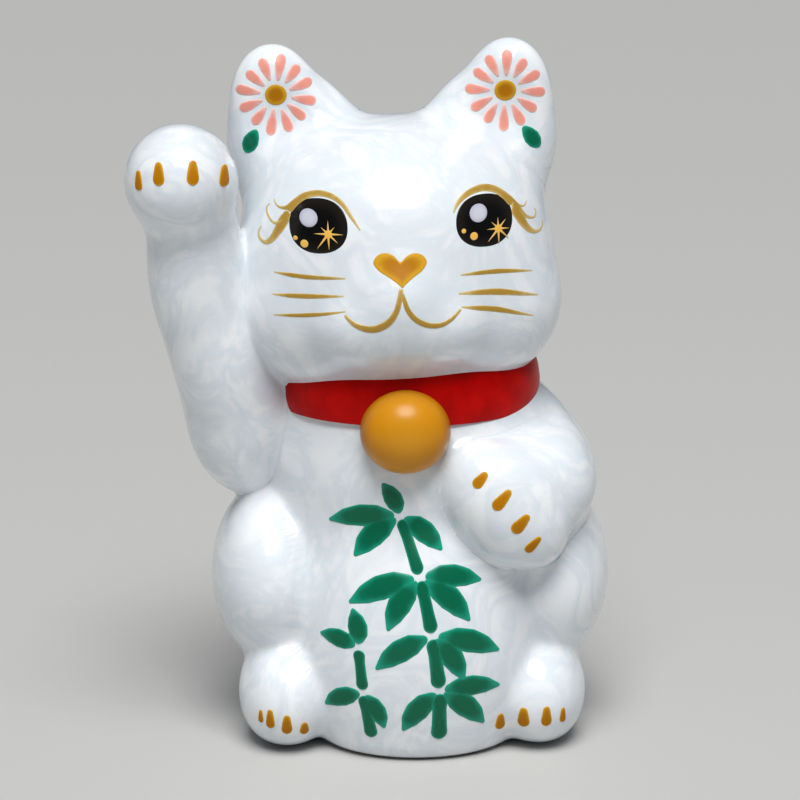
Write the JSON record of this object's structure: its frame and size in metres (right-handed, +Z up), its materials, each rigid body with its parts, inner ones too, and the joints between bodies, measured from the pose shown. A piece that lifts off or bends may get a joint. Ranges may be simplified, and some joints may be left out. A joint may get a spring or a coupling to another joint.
{
  "type": "beckoning cat figurine",
  "caption": "Seated glazed porcelain cat with one paw raised, a hollow coin bank with a back slot, a pull-out rubber stopper in its foot and painted enamel details.",
  "frame": {"origin": "middle of the foot, on the plane that the cat stands on", "axes": "+Z up, the cat looks along -Y, +X is the cat's left (the viewer's right)"},
  "size_m": [0.1027, 0.073, 0.1501],
  "materials": {
    "white_glaze": "glossy white glaze with faint pearly crystals",
    "red_glaze": "glossy red enamel, thinner along its edges",
    "bell_glaze": "glossy ochre yellow enamel, darker at the rim",
    "ochre_enamel": "glossy ochre yellow enamel",
    "gold_lustre": "fired gold lustre, satin",
    "pale_gold_enamel": "glossy pale gold enamel",
    "lilac_enamel": "glossy pale lilac enamel",
    "pink_enamel": "glossy salmon pink enamel, softer at its edges",
    "green_enamel": "glossy deep green enamel, pooled and darker in the middle of the strokes",
    "black_enamel": "glossy black enamel",
    "stopper_rubber": "matt soft rubber"
  },
  "bodies": {
    "cat": {"body_shell": "white_glaze", "head_shell": "white_glaze", "raised_arm": "white_glaze", "lowered_arm": "white_glaze", "tail": "white_glaze", "collar": "red_glaze", "bell": "bell_glaze", "eyes": "black_enamel", "eye_highlights": "lilac_enamel", "eye_sparkles": "pale_gold_enamel", "eyelids": "gold_lustre", "nose": "ochre_enamel", "mouth": "gold_lustre", "whiskers": "gold_lustre", "ear_petals": "pink_enamel", "ear_flower_centres": "ochre_enamel", "ear_leaves": "green_enamel", "raised_claws": "ochre_enamel", "lowered_claws": "ochre_enamel", "left_foot_claws": "ochre_enamel", "right_foot_claws": "ochre_enamel", "belly_spray": "green_enamel"},
    "stopper": {"stopper": "stopper_rubber"}
  },
  "joints": [
    {"name": "stopper_pull", "type": "slide", "parent": "cat", "child": "stopper", "axis": [0, 0, -1], "range_m": [0, 0.025]}
  ]
}
